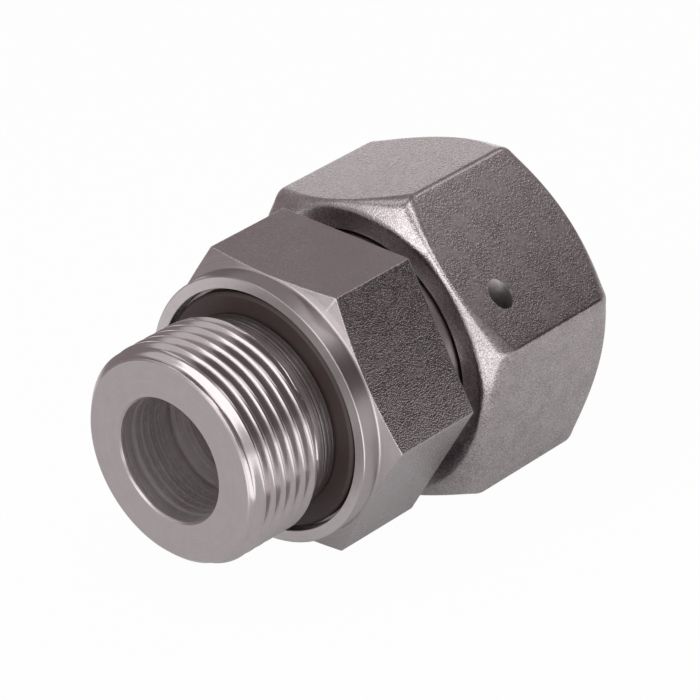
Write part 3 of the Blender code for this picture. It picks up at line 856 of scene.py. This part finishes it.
# %% Skin the nut and cut its thread
INTERNAL_THREAD_DEPTH = 0.5413
nut = skin("swivel_nut_blasted", nut_columns, nut_outline, [blasted_steel, turned_steel, thread_steel],
           thread=NUT_THREADED)
run_tree(nut, cut_thread, {
    "Pitch": METRIC_PITCH, "Depth": INTERNAL_THREAD_DEPTH * METRIC_PITCH, "Crest Radius": NUT_MINOR_R,
    "Start": NUT_THREAD_FIRST, "Start Slope": 1.0, "Start Radius": NUT_BORE_R - NUT_FIRST_STEP,
    "End": NUT_THREAD_LAST, "End Slope": 1.0, "End Radius": NUT_ENTRY_R - NUT_LAST_STEP,
    "Side": -1.0, "Phase": 0.0, "Material": thread_steel})

# %% [markdown]
# The wire's hole
#
# The hole in one flat is where the wire is fed in. It is drilled aslant, so that the wire slides into its
# groove along a tangent. A Boolean is the honest tool for a drill: it cuts what is there and gives the
# hole's wall the material of the tool.

# %% Where the drill goes
HOLE_R = 1.85 * MM
HOLE_OFF_CENTRE = 5.0 * MM
HOLE_FLAT = math.radians(150)
HOLE_RUN_IN = 3.4 * MM


def drill_line():
    """The drill's start and end, on a line that touches the wire's circle, and its slant."""
    normal = Vector((0, math.cos(HOLE_FLAT), math.sin(HOLE_FLAT)))
    along = Vector((0, -math.sin(HOLE_FLAT), math.cos(HOLE_FLAT)))
    apothem = NUT_HEX_AF / 2
    mouth = normal * apothem + along * HOLE_OFF_CENTRE + Vector((WIRE_AT, 0, 0))
    mouth_r = math.hypot(apothem, HOLE_OFF_CENTRE)
    slant = math.asin(WIRE_RING_R / mouth_r) - math.atan2(HOLE_OFF_CENTRE, apothem)
    inward = -normal * math.cos(slant) + along * math.sin(slant)
    groove_r = WIRE_RING_R + WIRE_GROOVE_R
    depth = math.sqrt(mouth_r ** 2 - WIRE_RING_R ** 2) - math.sqrt(groove_r ** 2 - WIRE_RING_R ** 2)
    return mouth - inward * 3 * HOLE_R, mouth + inward * (depth + HOLE_RUN_IN), slant


drill_start, drill_end, slant = drill_line()
print("wire hole slants", round(math.degrees(slant), 1), "degrees")

# %% Drill the wire's hole
DRILL_SIDES = 40


def drill(made, start, end):
    """Cut a round hole along a line."""
    tool_mesh = bpy.data.meshes.new("drill")
    work = bmesh.new()
    bmesh.ops.create_cone(work, cap_ends=True, segments=DRILL_SIDES, radius1=HOLE_R, radius2=HOLE_R,
                          depth=(end - start).length)
    turn = (end - start).to_track_quat("Z", "Y").to_matrix().to_4x4()
    bmesh.ops.transform(work, verts=work.verts, matrix=Matrix.Translation((start + end) / 2) @ turn)
    work.to_mesh(tool_mesh)
    work.free()
    tool_mesh.materials.append(drilled_steel_painted_light)
    tool = add_object("drill", tool_mesh)
    cut = made.modifiers.new("wire_hole", "BOOLEAN")
    cut.operation, cut.solver, cut.object = "DIFFERENCE", "EXACT", tool
    cut.material_mode = "TRANSFER"
    evaluated_mesh(made)
    bpy.data.objects.remove(tool)


drill(nut, drill_start, drill_end)
complete(nut, "nut", "swivel_nut")

# %% [markdown]
# The sealing ring
#
# The stud seals against a port with a moulded ring that sits in the collar's recess. It stands a hair
# inside the collar's face. Its outer edge is a little uneven, as rubber that was pressed into a groove is,
# so the outline shifts slightly with the angle.

# %% The ring in the collar
SEAL_GAP = 0.1 * MM
SEAL_R = RECESS_R - 0.5 * MM
SEAL_COLUMNS = 180


def seal_outline(outer_r, angle):
    """Section of the sealing ring: flat back, soft lips, and a shallow hollow in its face."""
    wobble = (0.05 * math.sin(3 * angle + 1) + 0.03 * math.sin(7 * angle)) * MM
    face, back = STUD_LENGTH + SEAL_GAP, RECESS_FLOOR - SEAL_GAP
    inner, outer = SEAT_R + 0.03 * MM, outer_r + wobble
    return [
        corner(inner, face + 0.15 * MM, 0.1 * MM),
        corner(inner + 0.3 * MM, face + 0.1 * MM, 0.2 * MM),
        corner((inner + outer) / 2, face + 0.12 * MM),
        corner(outer - 0.5 * MM, face, 0.3 * MM),
        corner(outer, face + 0.4 * MM, 0.2 * MM),
        corner(outer, back, 0.15 * MM),
        corner(inner, back, 0.15 * MM),
    ]


seal = skin("sealing_ring", round_columns(SEAL_R, SEAL_COLUMNS), seal_outline, [seal_elastomer])
merge_points(seal.data)
complete(seal, "fitting", "stud_seal_ring")

# %% [markdown]
# O-ring and retaining wire
#
# Both are a round section that follows a circle, so one Geometry Nodes tree makes either: an arc of the
# ring's radius, swept with a circle of the section's radius. The O-ring is a whole turn. The wire is a
# turn with a gap, as it must be to slide in through the hole, and its ends are capped.

# %% A round section along an arc
ARC_POINTS = 150
SECTION_POINTS = 20


def ring_tree():
    """Geometry Nodes: a round section swept along a circle about the X axis, whole or with a gap."""
    tree, given = new_tree("round_section_ring", Bool=["Whole"], Material=["Material"], Float=[
        "Ring Radius", "Section Radius", "Start Angle", "Sweep", "Along"])
    part = add(tree, "GeometryNodeCurveArc",
               {"Resolution": ARC_POINTS, "Radius": given["Ring Radius"], "Start Angle": given["Start Angle"],
                "Sweep Angle": given["Sweep"]}, output="Curve")
    full = add(tree, "GeometryNodeCurvePrimitiveCircle",
               {"Resolution": ARC_POINTS, "Radius": given["Ring Radius"]})
    path = add(tree, "GeometryNodeSwitch", {"Switch": given["Whole"], "False": part, "True": full},
               input_type="GEOMETRY")
    section = add(tree, "GeometryNodeCurvePrimitiveCircle",
                  {"Resolution": SECTION_POINTS, "Radius": given["Section Radius"]})
    swept = add(tree, "GeometryNodeCurveToMesh", {"Curve": path, "Profile Curve": section, "Fill Caps": True})
    shift = add(tree, "ShaderNodeCombineXYZ", {"X": given["Along"]})
    # the circle lies in the XY plane: stand it up, so that its axis is X and its angle 0 points along Y
    stood = add(tree, "GeometryNodeTransform", {"Geometry": swept, "Translation": shift,
                                                "Rotation": (math.pi / 2, 0, math.pi / 2)})
    whole = add(tree, "GeometryNodeRealizeInstances", {"Geometry": stood})
    dressed = add(tree, "GeometryNodeSetMaterial", {"Geometry": whole, "Material": given["Material"]})
    add(tree, "NodeGroupOutput", {"Geometry": dressed})
    return tree


# %% Make the O-ring and the wire
sweep_ring = ring_tree()
O_RING_SECTION_R = 1.2 * MM
O_RING_SUNK = 0.85 * MM
WIRE_SECTION_R = 1.5 * MM
WIRE_GAP = math.radians(22)


def ring(name, values, body_name, node):
    """A ring from the tree, welded, and standing for its node."""
    made = add_object(name, bpy.data.meshes.new(name))
    merge_points(run_tree(made, sweep_ring, values))
    complete(made, body_name, node)


ring("cone_o_ring_nitrile", {
    "Ring Radius": CONE_R_AT_O_RING - O_RING_SUNK, "Section Radius": O_RING_SECTION_R,
    "Along": O_RING_AT, "Whole": True, "Material": nitrile_rubber},
    "fitting", "cone_o_ring")
ring("retaining_spring_wire", {
    "Ring Radius": WIRE_RING_R, "Section Radius": WIRE_SECTION_R, "Start Angle": HOLE_FLAT + WIRE_GAP,
    "Sweep": 2 * math.pi - WIRE_GAP, "Along": WIRE_AT, "Whole": False, "Material": spring_wire},
    "fitting", "retaining_wire")

# %% [markdown]
# Floor and flag
#
# The part lies on a plain white table. The camera sees it nearly as plain white, with a small share of
# the lit surface, which keeps the shadow under the part. The metal mirrors more of the lit surface. Bare
# metal shows whatever stands around it, so a dark card, which photographers call a flag, stands close on
# the right, out of the camera's sight. It gives the darkest flats something dark to mirror.

# %% Surfaces of the stage
def stage_material(name, colour, white_seen, white_mirrored):
    """A matt surface that is partly plain white: one share for the camera, one for what metal mirrors."""
    material, tree = new_surface(name)
    path = tree.nodes.new("ShaderNodeLightPath").outputs
    mirrored = add(tree, MATH, {0: path["Is Glossy Ray"], 1: path["Is Transmission Ray"]},
                   operation="MAXIMUM")
    mirrored = add(tree, MATH, {0: mirrored, 1: white_mirrored}, operation="MULTIPLY")
    share = add(tree, MATH, {0: path["Is Camera Ray"], 1: white_seen, 2: mirrored},
                operation="MULTIPLY_ADD")
    matt = add(tree, "ShaderNodeBsdfDiffuse", {"Color": linear(colour)})
    white = add(tree, "ShaderNodeEmission", {"Color": (1, 1, 1, 1), "Strength": 1.0})
    mixed = add(tree, "ShaderNodeMixShader", {0: share, 1: matt, 2: white})
    add(tree, "ShaderNodeOutputMaterial", {"Surface": mixed})
    return material


white_table = stage_material("matt_white_table", "#F2F2F2", white_seen=0.97, white_mirrored=0.3)
black_card = stage_material("matt_black_card", "#473F3F", white_seen=0.0, white_mirrored=0.0)

# %% Place the floor and the flag
MIDDLE = Vector((0, 0, AXIS_HEIGHT))


def towards(azimuth, elevation, distance):
    """A place at this azimuth from +X, elevation and distance from the middle of the part."""
    a, e = math.radians(azimuth), math.radians(elevation)
    return Vector((math.cos(e) * math.cos(a), math.cos(e) * math.sin(a), math.sin(e))) * distance + MIDDLE


def card(name, width, height, place, aim, material):
    """A flat rectangle that faces a point."""
    mesh = bpy.data.meshes.new(name)
    turn = (Vector(aim) - Vector(place)).to_track_quat("Z", "Y").to_matrix().to_4x4()
    corners = [Vector((x * width / 2, y * height / 2, 0)) for x, y in ((-1, -1), (1, -1), (1, 1), (-1, 1))]
    mesh.from_pydata([turn @ c + Vector(place) for c in corners], [], [(0, 1, 2, 3)])
    mesh.materials.append(material)
    made = add_object(name, mesh)
    return made


card("floor", 8.0, 8.0, (0, 0, 0), (0, 0, 1), white_table)
flag = card("right_flag", 0.13, 0.14, towards(310, 8.4, 0.25), MIDDLE, black_card)
flag.visible_camera = False
flag.visible_shadow = False
print("stage: floor and flag")

# %% [markdown]
# Light
#
# Metal is lit by what it mirrors, so each lamp stands where one group of faces mirrors it. The large
# softbox on the left lights the front chamfers, and the fill beside it carries them on over the top. The
# high one lights the nut's soft corners, and the overhead one the thread's flanks on top. The small one
# on the right draws the bright lines on the upper right of every round, with a weaker fill beside it. The
# one behind lights the flats that face up, and the low panel the undersides. A lamp is given its
# radiance, the brightness that a mirror shows, and its power follows from that and from its area.

# %% Lamps
def softbox(name, place, aim, width, height, radiance):
    """A rectangular lamp that shines at a point with this radiance."""
    lamp = bpy.data.lights.new(name, "AREA")
    lamp.shape, lamp.size, lamp.size_y = "RECTANGLE", width, height
    lamp.energy = radiance * math.pi * width * height
    made = add_object(name, lamp)
    made.location = place
    made.rotation_euler = (Vector(place) - Vector(aim)).to_track_quat("Z", "Y").to_euler()
    made.visible_camera = False


# azimuth, elevation and distance, then width, height and radiance
SOFTBOXES = {
    "left_softbox": (187, 21, 0.9, 0.86, 0.69, 2.0),
    "left_fill": (145, 32, 0.9, 0.5, 0.5, 0.6),
    "high_left_softbox": (243, 46, 0.9, 0.36, 0.44, 2.2),
    "overhead_softbox": (120, 72, 0.9, 0.5, 0.5, 0.85),
    "right_softbox": (321, 38.5, 0.9, 0.2, 0.19, 1.3),
    "right_fill": (340, 42, 0.9, 0.3, 0.3, 0.7),
    "back_softbox": (46, 5, 0.95, 0.75, 0.34, 1.2),
}
for name, (azimuth, elevation, distance, width, height, radiance) in SOFTBOXES.items():
    softbox(name, towards(azimuth, elevation, distance), MIDDLE, width, height, radiance)
LOW_PANEL_AT = Vector((-70, -72, 1)) * MM
softbox("low_panel", LOW_PANEL_AT, LOW_PANEL_AT + Vector((0, 0, 1)), 0.1, 0.09, 1.4)
print(len(SOFTBOXES), "softboxes and a low panel")

# %% The room around, and how its light is shown
world = bpy.data.worlds.new("studio")
world.use_nodes = True
bpy.context.scene.world = world
room = world.node_tree.nodes["Background"].inputs
room["Color"].default_value = linear("#A69C9D")
room["Strength"].default_value = 1.0
bpy.context.scene.view_settings.view_transform = "Standard"
print("room of brightness", round(room["Color"].default_value[0], 2))

# %% [markdown]
# Camera
#
# A long lens looks down on the part from the stud's side. It is placed by its distance and two angles
# from a point near the part's middle, and turned a little about its own axis.

# %% Camera
VIEW_AZIMUTH, VIEW_ELEVATION, VIEW_ROLL = 317.41, 18.24, -13.52
VIEW_DISTANCE = 631.0 * MM
LENS = 227.09
AIM = Vector((2.5, -1.9, 24.9)) * MM

azimuth, elevation = math.radians(VIEW_AZIMUTH), math.radians(VIEW_ELEVATION)
forward = Vector((-math.sin(azimuth) * math.cos(elevation), math.cos(azimuth) * math.cos(elevation),
                  -math.sin(elevation)))
camera = add_object("camera", bpy.data.cameras.new("camera"))
camera.data.lens = LENS
camera.data.clip_start = 10 * MM
roll = Matrix.Rotation(math.radians(VIEW_ROLL), 4, "Z")
camera.matrix_world = Matrix.Translation(AIM - forward * VIEW_DISTANCE) \
    @ forward.to_track_quat("-Z", "Y").to_matrix().to_4x4() @ roll
bpy.context.scene.camera = camera
print("camera at", [round(c / MM, 1) for c in camera.matrix_world.translation], "mm")
